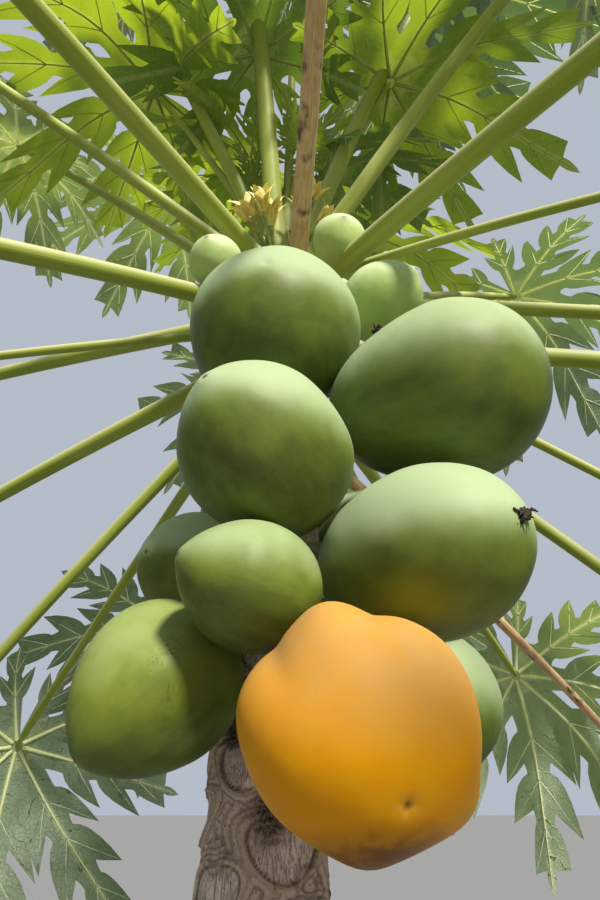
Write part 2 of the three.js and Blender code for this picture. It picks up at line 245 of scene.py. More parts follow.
def trunk_middle(height):
    """The middle line of the trunk: a parabola up to the top of the bend, straight above it."""
    slope = math.tan(LEAN)
    if height < BEND_HEIGHT:
        return Vector((0, slope * height * height / (2 * BEND_HEIGHT), height))
    return Vector((0, slope * (height - BEND_HEIGHT / 2), height))


def ground_height(up):
    return BEND_HEIGHT + up * math.cos(LEAN)


def trunk_radius(height):
    return float(np.interp(height, *zip(*TAPER)))


def heading(turn, rise):
    a, e = math.radians(turn), math.radians(rise)
    return Vector((math.sin(a) * math.cos(e), -math.cos(a) * math.cos(e), math.sin(e)))


def beside_trunk(up, turn, out):
    """A place in the crown, measured square to the leaning middle line."""
    a = math.radians(turn)
    return trunk_middle(ground_height(up)) + Vector((math.sin(a) * out, 0, 0)) - ACROSS * (math.cos(a) * out)


# Soft steps and humps

def capped(value):
    return np.clip(value, 0, 1)


def eased(share):
    return share * share * (3 - 2 * share)


def hump(distance, width):
    """1 at no distance, and less and less on both sides."""
    return np.exp(-(distance / width) ** 2)


def below(value, edge, softness):
    """1 under an edge and 0 over it, with a soft step between."""
    return 1 / (1 + np.exp(np.clip((value - edge) / softness, -30, 30)))


def turned_from(angle, middle):
    return (angle - middle + math.pi) % (2 * math.pi) - math.pi


def noise_over(points, scale, shift=0):
    """Soft noise at each of an array of points."""
    away = Vector((shift, 0, 0))
    values = [noise.noise(Vector(p) * scale + away) for p in points.reshape(-1, 3)]
    return np.array(values).reshape(points.shape[:-1])


# Meshes from arrays of points

class Pile:
    """Small shapes of one kind, gathered to become one mesh."""

    def __init__(self):
        self.points, self.faces, self.maps, self.tones, self.count = [], [], [], [], 0

    def add(self, points, faces, tone, flat_map=None):
        self.points.append(points)
        self.faces += (np.asarray(faces, int) + self.count).tolist()
        self.maps.append(np.zeros((len(points), 2)) if flat_map is None else flat_map)
        self.tones.append(np.full(len(points), tone, float))
        self.count += len(points)

    def piece(self, name, material):
        made = mesh_piece(name, np.concatenate(self.points), self.faces, material)
        write_values(made.data, "tone", np.concatenate(self.tones))
        loops = np.empty(len(made.data.loops), np.int32)
        made.data.loops.foreach_get("vertex_index", loops)
        layer = made.data.uv_layers.new(name="UVMap")
        layer.data.foreach_set("uv", np.concatenate(self.maps).astype(np.float32)[loops].ravel())
        return made


def new_object(name, data):
    made = bpy.data.objects.new(name, data)
    bpy.context.scene.collection.objects.link(made)
    return made


def mesh_piece(name, points, faces, material):
    mesh = bpy.data.meshes.new(name)
    mesh.from_pydata(np.asarray(points).tolist(), [], faces if isinstance(faces, list) else faces.tolist())
    mesh.validate()
    mesh.shade_smooth()
    mesh.materials.append(material)
    return new_object(name, mesh)


def write_values(mesh, name, values):
    """Stores a number, or a vector, at each point of a mesh."""
    values = np.asarray(values, np.float32)
    kind, field = ("FLOAT", "value") if values.ndim == 1 else ("FLOAT_VECTOR", "vector")
    mesh.attributes.new(name, kind, "POINT").data.foreach_set(field, values.ravel())


def weld(piece, distance=.00002):
    """Joins points that lie on each other, which also drops faces that have shrunk to a line."""
    shape = bmesh.new()
    shape.from_mesh(piece.data)
    bmesh.ops.remove_doubles(shape, verts=shape.verts, dist=distance)
    shape.to_mesh(piece.data)
    shape.free()


def grid_faces(rows, columns, closed=False):
    """Four-sided faces over a grid of points, wrapped round in its columns where closed."""
    j, i = np.meshgrid(np.arange(rows - 1), np.arange(columns if closed else columns - 1), indexing="ij")
    here, right = j * columns + i, j * columns + (i + 1) % columns
    return np.stack([here, right, right + columns, here + columns], -1).reshape(-1, 4)


# Node trees

class Nodes:
    """A node tree in the making, with short names for the nodes that it has most of."""

    def __init__(self, tree):
        self.tree = tree

    def add(self, kind, inputs=(), **settings):
        """A node with its settings and its inputs, each a value or the output of another node."""
        node = self.tree.nodes.new(kind)
        for key, value in settings.items():
            setattr(node, key, value)
        for key, value in dict(inputs).items():
            socket = node.inputs[key]
            if isinstance(value, bpy.types.NodeSocket):
                self.tree.links.new(value, socket)
            else:
                socket.default_value = (*value, 1) if socket.type == "RGBA" else value
        return node

    def keep(self, geometry, kind, value):
        """Keeps a value at each point of a geometry: its outputs are the geometry and the kept value."""
        node = self.add("GeometryNodeCaptureAttribute", {"Geometry": geometry}, domain="POINT")
        node.capture_items.new(kind, "Kept")
        self.tree.links.new(value, node.inputs[1])
        return node.outputs

    def maths(self, operation, *values):
        return self.add("ShaderNodeMath", dict(enumerate(values)), operation=operation).outputs[0]

    def times(self, first, second):
        return self.maths("MULTIPLY", first, second)

    def plus(self, first, second):
        return self.maths("ADD", first, second)

    def minus(self, first, second):
        return self.maths("SUBTRACT", first, second)

    def noise(self, place, scale, detail, roughness=.5):
        return self.add("ShaderNodeTexNoise", {
            "Vector": place, "Scale": scale, "Detail": detail, "Roughness": roughness}).outputs["Fac"]

    def spread(self, value, low, high, start=0, end=1):
        """Maps a value from low..high to start..end, smoothly and within bounds."""
        return self.add("ShaderNodeMapRange", {
            "Value": value, "From Min": low, "From Max": high, "To Min": start, "To Max": end},
            interpolation_type="SMOOTHSTEP").outputs["Result"]


def new_group(name, kind, inputs, output):
    """A node group with named inputs, each with its kind and first value, and one output."""
    tree = bpy.data.node_groups.new(name, kind)
    for label, socket_kind, value in inputs:
        socket = tree.interface.new_socket(label, in_out="INPUT", socket_type="NodeSocket" + socket_kind)
        if value is not None:
            socket.default_value = value
    tree.interface.new_socket(output[0], in_out="OUTPUT", socket_type="NodeSocket" + output[1])
    return Nodes(tree), tree.nodes.new("NodeGroupInput").outputs


def limb_tree():
    """Sweeps a round section along curves. Grain holds the section's own place and the distance along."""
    n, given = new_group("limbs", "GeometryNodeTree", [
        ("Geometry", "Geometry", None), ("Sides", "Int", 16), ("Grain Length", "Float", 1.0),
        ("Material", "Material", None)], ("Geometry", "Geometry"))
    line = n.keep(given["Geometry"], "FLOAT", n.add("GeometryNodeSplineParameter").outputs["Length"])
    circle = n.add("GeometryNodeCurvePrimitiveCircle", {"Resolution": given["Sides"], "Radius": 1.0})
    round_place = n.add("GeometryNodeInputPosition").outputs["Position"]
    section = n.keep(circle.outputs["Curve"], "VECTOR", round_place)
    swept = n.add("GeometryNodeCurveToMesh", {
        "Curve": line[0], "Profile Curve": section[0],
        "Scale": n.add("GeometryNodeInputRadius").outputs["Radius"], "Fill Caps": True})
    place = n.add("ShaderNodeSeparateXYZ", {0: section[1]}).outputs
    grain = n.add("ShaderNodeCombineXYZ", {
        0: place[0], 1: place[1], 2: n.times(line[1], given["Grain Length"])})
    shape = n.add("GeometryNodeStoreNamedAttribute", {
        "Geometry": swept.outputs["Mesh"], "Name": "grain", "Value": grain.outputs[0]},
        data_type="FLOAT_VECTOR", domain="POINT")
    for kind in ("GeometryNodeSetShadeSmooth", "GeometryNodeRealizeInstances"):
        shape = n.add(kind, {"Geometry": shape.outputs["Geometry"]})
    shape = n.add("GeometryNodeSetMaterial", {
        "Geometry": shape.outputs["Geometry"], "Material": given["Material"]})
    n.add("NodeGroupOutput", {"Geometry": shape.outputs["Geometry"]})
    return n.tree


def mottle_group():
    """Two sizes of soft cloud over a surface, as one mask."""
    n, given = new_group("mottle", "ShaderNodeTree", [
        ("Place", "Vector", None), ("Large Scale", "Float", 12.0), ("Small Scale", "Float", 70.0),
        ("Small Share", "Float", .35)], ("Mask", "Float"))
    large = n.noise(given["Place"], given["Large Scale"], 3)
    small = n.noise(given["Place"], given["Small Scale"], 4)
    mixed = n.add("ShaderNodeMix", {0: given["Small Share"], 2: large, 3: small}, data_type="FLOAT")
    n.add("NodeGroupOutput", {"Mask": n.spread(mixed.outputs[0], .34, .66)})
    return n.tree


def speck_group():
    """Small round specks, a few to each square centimetre, as a mask."""
    n, given = new_group("specks", "ShaderNodeTree", [
        ("Place", "Vector", None), ("Scale", "Float", 220.0), ("Size", "Float", .16),
        ("Share", "Float", .5)], ("Mask", "Float"))
    cells = n.add("ShaderNodeTexVoronoi", {"Vector": given["Place"], "Scale": given["Scale"]})
    dot = n.add("ShaderNodeMapRange", {
        "Value": cells.outputs["Distance"], "From Min": given["Size"], "From Max": 0.0})
    chosen = n.maths("LESS_THAN", cells.outputs["Color"], given["Share"])
    n.add("NodeGroupOutput", {"Mask": n.times(dot.outputs["Result"], chosen)})
    return n.tree


def limbs(name, lines, sides, material, grain_length=1.0):
    """One plain mesh of round limbs along lines, each a list of points and a list of radii."""
    data = bpy.data.curves.new(name + "_lines", "CURVE")
    data.dimensions = "3D"
    for points, radii in lines:
        spline = data.splines.new("POLY")
        spline.points.add(len(points) - 1)
        flat = np.ones((len(points), 4), np.float32)
        flat[:, :3] = np.asarray(points, np.float32)
        spline.points.foreach_set("co", flat.ravel())
        spline.points.foreach_set("radius", np.asarray(radii, np.float32))
    source = new_object(data.name, data)
    modifier = source.modifiers.new("shape", "NODES")
    modifier.node_group = LIMB_TREE
    inputs = {"Sides": sides, "Grain Length": grain_length, "Material": material}
    for item in LIMB_TREE.interface.items_tree:
        if item.name in inputs:
            modifier[item.identifier] = inputs[item.name]
    bpy.context.view_layer.update()
    view = bpy.context.evaluated_depsgraph_get()
    mesh = bpy.data.meshes.new_from_object(source.evaluated_get(view))
    mesh.name = name
    source.modifiers.remove(modifier)
    bpy.data.objects.remove(source)
    # How far each point faces the sky, which the stalk paint turns into a painted sheen.
    normals = np.empty(len(mesh.vertices) * 3, np.float32)
    mesh.vertex_normals.foreach_get("vector", normals)
    write_values(mesh, "sky", normals[2::3])
    return new_object(name, mesh)


# Materials

class Paint(Nodes):
    """A material in the making, with its patterns on object coordinates."""

    def __init__(self, name):
        self.material = bpy.data.materials.new(name)
        self.material.use_nodes = True
        super().__init__(self.material.node_tree)
        self.tree.nodes.clear()
        self.place = self.add("ShaderNodeTexCoord").outputs["Object"]

    def value(self, name, output="Fac"):
        return self.add("ShaderNodeAttribute", attribute_name=name).outputs[output]

    def stretched(self, place, scale):
        return self.add("ShaderNodeMapping", {"Vector": place, "Scale": scale}).outputs["Vector"]

    def cloud(self, large, small, share=.3):
        return self.add("ShaderNodeGroup", {
            "Place": self.place, "Large Scale": large, "Small Scale": small, "Small Share": share},
            node_tree=MOTTLE).outputs[0]

    def specks(self, scale, size, share):
        return self.add("ShaderNodeGroup", {
            "Place": self.place, "Scale": scale, "Size": size, "Share": share}, node_tree=SPECKS).outputs[0]

    def blend(self, share, first, second):
        return self.add("ShaderNodeMix", {0: share, 6: first, 7: second}, data_type="RGBA").outputs[2]

    def tint(self, colour, mask, share, second):
        """Lays a second colour over the first up to a share, where the mask says."""
        return self.blend(self.times(mask, share), colour, second)

    def surface(self, colour, roughness, height, depth, **sockets):
        """A principled surface with its colour, roughness and relief, and plain values for other sockets."""
        relief = self.add("ShaderNodeBump", {"Height": height, "Distance": depth, "Strength": 1.0})
        settings = {key.replace("_", " "): value for key, value in sockets.items()}
        return self.add("ShaderNodeBsdfPrincipled", {
            "Base Color": colour, "Roughness": roughness, "Normal": relief.outputs["Normal"], **settings})

    def done(self, shader):
        self.add("ShaderNodeOutputMaterial", {"Surface": shader.outputs[0]})
        return self.material


def bark_material():
    """Grey-brown bark: striped plates in the leaf scars, and fine ridges that flow round them."""
    p = Paint("papaya_bark")
    cloud = p.cloud(18, 110, .45)
    streak = p.noise(p.stretched(p.place, (1, 1, .05)), 980, 3, .6)
    grain = p.noise(p.place, 460, 5)
    ridge = p.spread(p.maths("SINE", p.plus(p.times(p.value("reach"), 34), p.times(grain, 8))), -1, .2)
    scar = p.value("scar")
    ground = p.tint(p.blend(cloud, (.280, .195, .155), (.400, .290, .230)), ridge, .60, (.700, .540, .425))
    plate = p.blend(p.spread(streak, .38, .58), (.350, .245, .215), (.780, .620, .560))
    plate = p.blend(p.spread(cloud, 0, 1, 0, .35), plate, (.300, .215, .190))
    colour = p.blend(scar, ground, plate)
    colour = p.tint(colour, p.value("crest"), .6, (.520, .400, .290))
    colour = p.tint(colour, p.value("rim"), .90, (.070, .042, .030))
    colour = p.tint(colour, p.value("bud"), .55, (.120, .080, .058))
    colour = p.blend(p.spread(grain, .56, .70, 0, .50), colour, (.085, .055, .040))
    colour = p.blend(p.times(p.value("pit"), p.spread(grain, .35, .6, 1, .6)), colour, (.022, .014, .009))
    colour = p.blend(p.value("fresh"), colour, p.blend(cloud, (.085, .115, .040), (.200, .235, .110)))
    relief = p.plus(p.times(p.times(streak, .7), scar), p.times(grain, .5))
    relief = p.plus(relief, p.times(p.times(ridge, p.minus(1, scar)), .45))
    return p.done(p.surface(colour, p.spread(cloud, 0, 1, .74, .92), relief, .0008, Specular_IOR_Level=.3))


def green_fruit_material():
    """A green skin with a wax coat: pale towards the sky with painted top light, dark green below with
    painted shade, yellow where it ripens, and a brown scar at its tip.
    """
    p = Paint("green_papaya_skin")
    cloud = p.cloud(14, 55)
    fine = p.noise(p.place, 900, 3)
    streak = p.noise(p.value("grain", "Vector"), 3.2, 5, .6)
    bloom_and_top_light = p.value("bloom_and_top_light")
    # The dark green where the skin faces down is partly its own colour and partly painted shade.
    deep = p.blend(cloud, (.064, .094, .015), (.088, .126, .020))
    mid = p.blend(p.spread(streak, .35, .65, 0, .45), deep, (.165, .225, .030))
    mid = p.blend(p.times(p.value("ripening_and_shade"), p.spread(cloud, .1, .9, .45, 1)), mid, (.300, .330, .018))
    # Paler the more the skin faces the sky: a wax coat with painted top light over it.
    fuller = p.blend(bloom_and_top_light, mid, (.215, .295, .070))
    waxy_and_top_light = p.spread(p.plus(bloom_and_top_light, p.times(cloud, .22)), .22, 1.15)
    colour = p.blend(waxy_and_top_light, fuller, (.375, .465, .260))
    colour = p.tint(colour, p.specks(230, .15, .45), .35, (.060, .075, .018))
    wet = p.spread(p.noise(p.stretched(p.place, (1, 1, .06)), 420, 1), .54, .64, 0, .7)
    colour = p.blend(p.times(p.value("runs"), wet), colour, (.055, .070, .012))
    latex = p.spread(p.noise(p.place, 600, 2), .56, .61)
    colour = p.blend(p.times(p.value("stain"), latex), colour, (.035, .020, .012))
    colour = p.blend(p.value("scar"), colour, (.095, .050, .022))
    relief = p.plus(p.times(cloud, .6), p.times(fine, .2))
    return p.done(p.surface(colour, p.spread(waxy_and_top_light, 0, 1, .46, .60), relief, .00025, Specular_IOR_Level=.22,
                            Subsurface_Weight=.05, Subsurface_Radius=(.006, .008, .002)))


def ripe_fruit_material():
    """Orange skin: dull peach towards the sky, a dust-dulled skin with painted top light, deep orange in the
    middle, and brownish below, which is painted shade.
    """
    p = Paint("ripe_papaya_skin")
    cloud = p.cloud(20, 80)
    fine = p.noise(p.place, 800, 3)
    # Brownish where the skin faces the ground: painted shade.
    colour = p.blend(p.value("ripening_and_shade"), (.730, .300, .001), (.190, .072, .004))
    colour = p.blend(p.spread(cloud, .2, .9, 0, .4), colour, (.780, .370, .002))
    # Dull peach where the skin faces the sky: a dust-dulled skin with painted top light over it.
    dusty_and_top_light = p.times(p.value("bloom_and_top_light"), p.spread(cloud, 0, 1, .70, 1))
    colour = p.blend(dusty_and_top_light, colour, (.520, .285, .082))
    star = p.times(p.value("star"), p.spread(fine, .4, .6, .5, 1))
    colour = p.tint(colour, star, .7, (.700, .400, .080))
    colour = p.tint(colour, p.specks(260, .13, .4), .35, (.400, .130, .010))
    colour = p.blend(p.value("scar"), colour, (.160, .060, .018))
    relief = p.plus(p.times(cloud, .8), p.times(fine, .25))
    return p.done(p.surface(colour, p.spread(dusty_and_top_light, 0, 1, .45, .60), relief, .00015, Specular_IOR_Level=.12,
                            Subsurface_Weight=.08, Subsurface_Radius=(.012, .005, .001)))


def young_fruit_material():
    p = Paint("young_papaya_skin")
    cloud = p.cloud(26, 90)
    colour = p.blend(cloud, (.310, .415, .110), (.400, .505, .165))
    # Paler where the skin faces the sky: a pale coat with painted top light over it.
    colour = p.tint(colour, p.value("bloom_and_top_light"), .85, (.560, .660, .380))
    colour = p.tint(colour, p.specks(300, .14, .4), .4, (.140, .180, .050))
    colour = p.blend(p.value("scar"), colour, (.220, .160, .060))
    return p.done(p.surface(colour, p.spread(cloud, 0, 1, .46, .58), cloud, .0003, Specular_IOR_Level=.3))


def stalk_material(name, low, high, above, flush, flush_share, line_share=.15, through=0):
    """A leaf stalk with fine lengthwise lines, paler above with a painted sky sheen, and a flush of colour
    along some of it.
    """
    p = Paint(name)
    grain = p.value("grain", "Vector")
    line = p.noise(p.stretched(grain, (1, 1, .5)), 9, 3)
    patch = p.noise(p.stretched(grain, (.5, .5, 3)), 1.1, 3)
    both = p.plus(p.times(line, line_share), p.times(patch, 1 - line_share))
    colour = p.blend(p.spread(both, .36, .62), low, high)
    # The side that faces the sky turns to the pale colour above: a painted sheen.
    colour = p.blend(p.spread(p.value("sky"), -.40, .45, 0, .85), colour, above)
    colour = p.blend(p.spread(patch, .50, .75, 0, flush_share), colour, flush)
    return p.done(p.surface(colour, p.spread(patch, 0, 1, .44, .56), line, .0002, Specular_IOR_Level=.3,
                            Subsurface_Weight=through, Subsurface_Radius=(.9, 1, .4), Subsurface_Scale=.012))


def leaf_material(name, top, under, glow, share):
    """A blade with fine side veins from its own map: U runs along them, V out from the rib."""
    p = Paint(name)
    own_map = p.add("ShaderNodeUVMap", uv_map="UVMap").outputs["UV"]
    parts = p.add("ShaderNodeSeparateXYZ", {0: own_map}).outputs
    cloud = p.cloud(7, 45, .35)
    step = p.plus(p.times(parts[0], 1.6), p.times(p.noise(p.place, 60, 2), .9))
    gap = p.maths("ABSOLUTE", p.minus(p.maths("FRACT", step), .5))
    net = p.add("ShaderNodeTexVoronoi", {"Vector": p.place, "Scale": 150}, feature="DISTANCE_TO_EDGE")
    vein = p.maths("MAXIMUM", p.spread(gap, .07, 0), p.spread(net.outputs["Distance"], .08, 0, 0, .35))
    middle = p.spread(parts[1], .17, .05)
    upper = p.tint(p.blend(cloud, *top), vein, .35, (.20, .30, .07))
    upper = p.tint(upper, middle, .60, (.30, .38, .11))
    lower = p.tint(p.blend(cloud, *under), vein, .70, (.46, .54, .30))
    lower = p.tint(lower, middle, .80, (.50, .57, .30))
    tone = p.value("tone")
    colour = p.blend(p.add("ShaderNodeNewGeometry").outputs["Backfacing"], upper, lower)
    colour = p.tint(colour, tone, .35, under[1])
    skin = p.surface(colour, p.spread(cloud, 0, 1, .46, .60), p.minus(p.times(cloud, .3), vein), .0016,
                     Specular_IOR_Level=.4)
    light = p.blend(p.maths("MAXIMUM", p.times(vein, .6), middle), glow[0], glow[1])
    through = p.add("ShaderNodeBsdfTranslucent", {"Color": p.blend(p.spread(tone, .15, .85), glow[2], light)})
    return p.done(p.add("ShaderNodeMixShader", {0: share, 1: skin.outputs[0], 2: through.outputs[0]}))


def plain_plant_material(name, low, high, scale, roughness):
    """A soft mottled surface for the small parts of the plant."""
    p = Paint(name)
    cloud = p.cloud(scale, scale * 5, .4)
    colour = p.tint(p.blend(cloud, low, high), p.value("tone"), .3, high)
    return p.done(p.surface(colour, p.spread(cloud, 0, 1, roughness, roughness + .15), cloud, .0008))


# Trunk

def trunk_rows():
    rows, top = [0.0], TAPER[-1][0]
    while rows[-1] < top:
        rows.append(rows[-1] + (FINE_ROW if FINE_FROM < rows[-1] < FINE_TO else COARSE_ROW))
    rows[-1] = top
    return np.array(rows)


def scar_places():
    """Height, turn and size of each leaf scar, up the spiral in which the leaves grew."""
    rng = np.random.default_rng(SEED)
    places, height, turn = [], .025, 0.0
    while height < ground_height(.60):
        share = height / ground_height(.60)
        size = (1.25 - .28 * share) * rng.uniform(.86, 1.14)
        places.append((height + rng.normal(0, .003), math.radians(turn + rng.normal(0, 6)), size))
        height += (SCAR_STEP_LOW + (SCAR_STEP_HIGH - SCAR_STEP_LOW) * share ** .7) * rng.uniform(.85, 1.15)
        turn += SCAR_TURN
    return places


def scar_fields(high, around, radius):
    """How far each place on the bark is from its nearest leaf scar, bud scar and fruit scar, where 1 is the
    rim, and how much it is in one of the dots inside a leaf scar."""
    bud, fruit = np.full((2, *high.shape), float(FAR_AWAY))
    near, dots = np.full(high.shape, math.exp(-3 * SOFT_EDGE)), np.zeros(high.shape)
    for place, turn, size in scar_places():
        band = np.abs(high[:, 0] - place) < 4 * SCAR_HEIGHT * size
        x = turned_from(around[band], turn) * radius[band]
        a, b = x / (SCAR_WIDTH * size), (high[band] - place) / (SCAR_HEIGHT * size)
        width = 1 + SCAR_TAPER * np.clip(b, -1.4, 1)
        shield = (np.abs(a / width) ** SCAR_ROUNDNESS + np.abs(b) ** SCAR_ROUNDNESS) ** (1 / SCAR_ROUNDNESS)
        near[band] += np.exp(-SOFT_EDGE * (shield + .08 * hump(a, .22) * (b > 0)))
        above = np.hypot(x, high[band] - place - SCAR_HEIGHT * size * 1.22) / (BUD_SIZE * size)
        bud[band] = np.minimum(bud[band], above)
        for p, q in SCAR_DOTS:
            dots[band] += np.exp(-(((a - p) / .08) ** 2 + ((b - q) / .1) ** 2))
    for place, turn, size in FRUIT_SCARS:
        aside = turned_from(around, math.radians(turn - 90)) * radius
        fruit = np.minimum(fruit, np.hypot(aside, (high - place) * .8) / size)
    return -np.log(near) / SOFT_EDGE, bud, fruit, dots


def trunk_piece():
    heights = trunk_rows()
    rows = len(heights)
    turns = np.linspace(0, 2 * math.pi, TRUNK_COLUMNS, endpoint=False)
    high, around = np.meshgrid(heights, turns, indexing="ij")
    flare = ROOT_FLARE * (1 + FLARE_DEPTH * np.cos(FLARE_LOBES * around + .6))
    radius = np.interp(high, *zip(*TAPER)) + flare * np.exp(-high / FLARE_HEIGHT)
    place = np.stack([radius * np.cos(around), radius * np.sin(around), high], -1)
    wander = noise_over(place, 30, 7)
    leaf, bud, fruit, dots = scar_fields(high, around + .05 * wander, radius)
    leaf = leaf + .07 * wander
    beyond = np.clip(leaf - 1.05, 0, 1.2)
    pit = np.exp(-np.clip(fruit, 0, 3) ** 4)
    clear = below(-bud, -1.15, .07)
    bare = clear * (1 - pit)
    plate = below(leaf, PLATE_EDGE, .035) * bare
    rim = hump(leaf - GROOVE_AT, GROOVE_SPREAD) * bare
    crest = hump(leaf - CREST_AT, RIM_SPREAD) * bare
    flow = np.sin(beyond * 21 + 2.5 * wander) * np.exp(-beyond * 1.2) * capped(beyond * 9) * clear
    relief = RIM_RISE * crest - SCAR_SINK * plate - GROOVE_SINK * rim - DOT_SINK * dots * plate
    relief = relief + RIDGE_RISE * flow + BUD_RISE * (hump(bud - 1, .32) - .8 * hump(bud, .45))
    relief = relief + ROUGH_RISE * noise_over(place, 52)
    relief = relief + pit * (CRUMBLE_RISE * noise_over(place, 240, 3) - PIT_SINK)
    fade = capped((ground_height(.62) - high) / .25) * np.clip((high + .02) / .05, .2, 1)
    radius = radius + relief * fade
    radius[0] = TAPER[0][1] + flare[0]
    tilt = np.arctan(math.tan(LEAN) * np.minimum(high / BEND_HEIGHT, 1))
    back = radius * np.sin(around)
    middle = np.array([trunk_middle(h).y for h in heights])[:, None]
    points = np.stack([radius * np.cos(around), middle + back * np.cos(tilt), high - back * np.sin(tilt)], -1)
    points = points.reshape(-1, 3)
    points[:, 2] = np.maximum(points[:, 2], 0)
    points = np.vstack([points, [[0, 0, 0]], [trunk_middle(heights[-1]) + Vector((0, 0, .006))]])
    faces = grid_faces(rows, TRUNK_COLUMNS, closed=True).tolist()
    foot, tip, last = rows * TRUNK_COLUMNS, rows * TRUNK_COLUMNS + 1, (rows - 1) * TRUNK_COLUMNS
    for i in range(TRUNK_COLUMNS):
        j = (i + 1) % TRUNK_COLUMNS
        faces += [[foot, j, i], [tip, last + i, last + j]]
    piece = mesh_piece("trunk_bark", points, faces, bark_material())
    fresh = capped((high - ground_height(.42)) / .22)
    bud_line = hump(bud - 1.45, .22) + hump(bud - .75, .20)
    values = {"scar": plate * fade, "rim": rim * fade, "crest": crest * fade, "reach": leaf,
              "bud": bud_line * fade, "pit": pit, "fresh": fresh}
    for name, numbers in values.items():
        write_values(piece.data, name, np.append(numbers.ravel(), [0, name == "fresh"]))
    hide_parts("trunk")
    return piece


# Fruit

def fruit_outline(fruit, t):
    """Half width along a fruit, from 0 at the stem to 1 at the tip, as a share of its greatest."""
    low = 1 - capped((fruit.widest - t) / fruit.widest) ** 2.2
    high = 1 - capped((t - fruit.widest) / (1 - fruit.widest)) ** 2
    half = np.where(t < fruit.widest, np.sqrt(low), high ** (1 / fruit.blunt))
    return half * (1 - fruit.neck * capped(1 - t / fruit.widest) * .5)


def fruit_frame(fruit):
    """Turns a shape that stands on its stem end along +Z into its place on the tree."""
    axis = heading(fruit.face, fruit.tilt)
    side = axis.cross(Vector((.01, .02, 1))).normalized()
    turn = Matrix((side, side.cross(axis), axis)).transposed().to_4x4()
    return Matrix.Translation(beside_trunk(fruit.up, fruit.turn, fruit.out)) @ turn


def fruit_shape(fruit, seed, rows, columns):
    """Points and values of a fruit's skin, in its own place on the tree."""
    rng = np.random.default_rng(seed)
    t = (1 - np.cos(np.linspace(0, math.pi, rows))) / 2
    along, around = np.meshgrid(t, np.linspace(0, 2 * math.pi, columns, endpoint=False), indexing="ij")
    tip_half = along > .5
    half = fruit_outline(fruit, along) * fruit.wide / 2
    belly = np.sin(math.pi * along) ** 1.2
    random_phase = rng.uniform(0, 6.28)
    phase = random_phase if fruit.phase is None else fruit.phase
    rib = np.cos(5 * around + phase)
    rib = rib - .35 * (1 - rib) * capped(.6 - along) * SHOULDER
    oval = OVAL * np.cos(2 * around + phase * 2) * belly * (not fruit.lobes)
    half = half * (1 + fruit.ribs * rib * belly * (1 + SHOULDER * (1 - along)) + oval)
    for lobe_turn, rise, width, to_stem in fruit.lobes:
        aside = (np.degrees(around) - lobe_turn + 180) % 360 - 180
        half = half + fruit.wide / 2 * rise * hump(aside, width) * belly * (1 + to_stem * (1 - 2 * along))
    nub = fruit.nipple * hump(half, fruit.wide * .07) * tip_half
    dimple = NUB_DIMPLE * hump(half, .0035) * tip_half
    sink = STEM_SINK * hump(half, fruit.wide * .13) * (along < .5)
    z = (along - .5) * fruit.long + nub - dimple + sink
    points = np.stack([half * np.cos(around), half * np.sin(around), z], -1).reshape(-1, 3)
    lumps = noise_over(points, 1.7 / fruit.wide, seed) + .35 * noise_over(points, 4.5 / fruit.wide, seed + 50)
    outward = points * np.array([1, 1, .6])
    outward = outward / np.maximum(np.linalg.norm(outward, axis=1, keepdims=True), 1e-6)
    points = points + outward * (lumps * fruit.wide * LUMPS)[:, None]
    turned = np.array(fruit_frame(fruit))
    placed = points @ turned[:3, :3].T + turned[:3, 3]
    sky = (outward @ turned[:3, :3].T)[:, 2]
    # The skin is paler the more it faces the sky: a pale wax coat with painted top light over it.
    bloom_and_top_light = capped(eased(capped((sky + .30 + .17 * fruit.bloom_and_top_light) / .88)) * fruit.bloom_and_top_light)
    # The yellow of ripening fades where the skin faces down: painted shade.
    ripening_and_shade = fruit.ripening_and_shade * capped(.8 + sky * 1.3) + fruit.yellow_below * capped(-sky - .3) * 1.3
    # A ripe fruit turns dull peach where it faces the sky, painted top light over a dust-dulled skin, and
    # brown where it faces the ground, painted shade.
    if fruit.kind == "fruit_ripe":
        bloom_and_top_light = capped((sky + .15) / .70)
        ripening_and_shade = capped((-sky - .66) / .30)
    from_tip = (1 - along) * fruit.long + half
    scar = capped(1.5 - from_tip / SCAR_SIZE[fruit.kind]) * tip_half * fruit.scar
    star = capped(1.2 - from_tip / .008) * capped(.55 + .6 * np.cos(5 * around + phase)) * tip_half
    round_place = np.sqrt(belly)
    grain = np.stack([np.cos(around) * round_place, np.sin(around) * round_place, along * .8 + seed], -1)
    stain, runs = np.zeros((2, len(points)))
    if fruit.stain:
        aside, deep, high = (placed - np.array(fruit.stain)).T
        near = hump(deep, .025)
        stain = near * np.exp(-((aside - high * .6) / .007) ** 2 - (high / .014) ** 2)
        runs = near * np.exp(-(aside / .008) ** 2 - ((high + .030) / .022) ** 2)
    values = {"bloom_and_top_light": bloom_and_top_light, "ripening_and_shade": capped(ripening_and_shade), "scar": scar.ravel(), "star": star.ravel(),
              "stain": stain, "runs": runs, "grain": grain.reshape(-1, 3)}
    return placed, values


def fruit_piece(name, fruit, seed, material, grid):
    points, values = fruit_shape(fruit, seed, *grid)
    # The fruit's frame mirrors the shape, so its faces are turned round to point outwards
    piece = mesh_piece(name, points, grid_faces(*grid, closed=True)[:, ::-1], material)
    for label, numbers in values.items():
        write_values(piece.data, label, numbers)
    weld(piece)
    return piece


